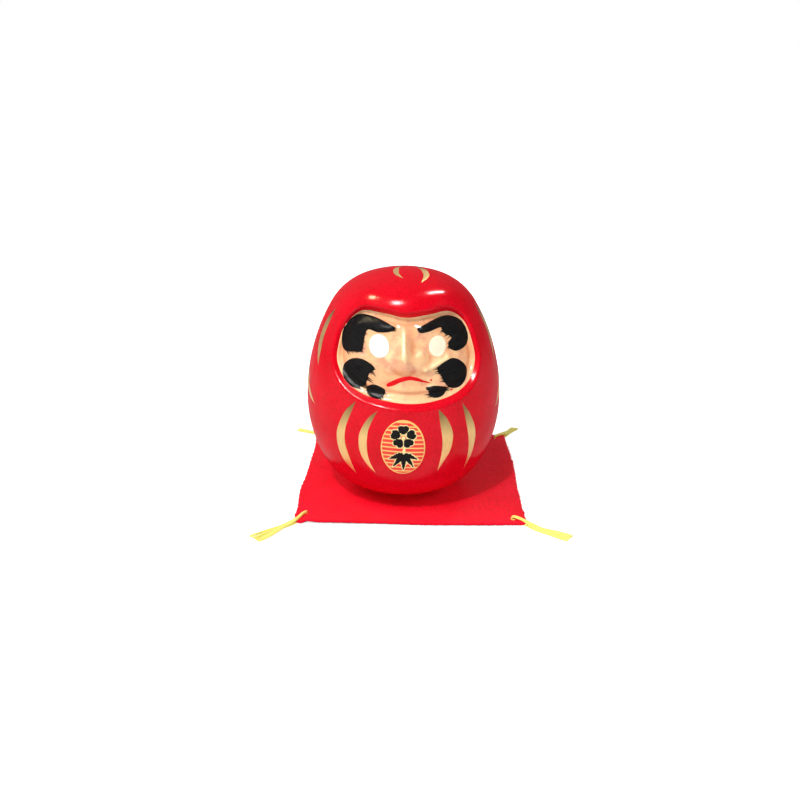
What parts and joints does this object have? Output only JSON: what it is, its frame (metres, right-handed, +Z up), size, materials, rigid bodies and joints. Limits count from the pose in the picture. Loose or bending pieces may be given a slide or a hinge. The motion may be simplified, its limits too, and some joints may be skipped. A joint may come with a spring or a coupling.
{
  "type": "daruma doll",
  "caption": "Small hollow papier-mache daruma wishing doll with a weighted round base that rocks upright, on a square felt mat with corner tassels.",
  "frame": {"origin": "centre of the felt mat's underside, on the surface that the set stands on", "axes": "+Z up, the mat's edges along X and Y, the doll's face towards -Y (turned 3 degrees towards +X)"},
  "size_m": [0.0949, 0.0912, 0.0724],
  "materials": {
    "red_lacquer": "gloss",
    "painted_clay": "satin",
    "label_paper": "satin",
    "red_felt": "matte",
    "yellow_yarn": "satin",
    "face_enamel": "gloss",
    "black_paint": "gloss",
    "white_paint": "satin",
    "gold_paint": "satin",
    "mouth_paint": "gloss"
  },
  "bodies": {
    "mat": {"felt_mat": "red_felt", "tassel_front_left": "yellow_yarn", "tassel_front_right": "yellow_yarn", "tassel_rear_left": "yellow_yarn", "tassel_rear_right": "yellow_yarn"},
    "doll": {"body_shell": "red_lacquer", "base_weight": "painted_clay", "front_label": "label_paper"}
  },
  "joints": [
    {"name": "rock", "type": "hinge", "parent": "mat", "child": "doll", "pos_m": [-0.0024, -0.007, 0.04315], "axis": [0, 1, 0], "range_deg": [-20, 20]}
  ]
}
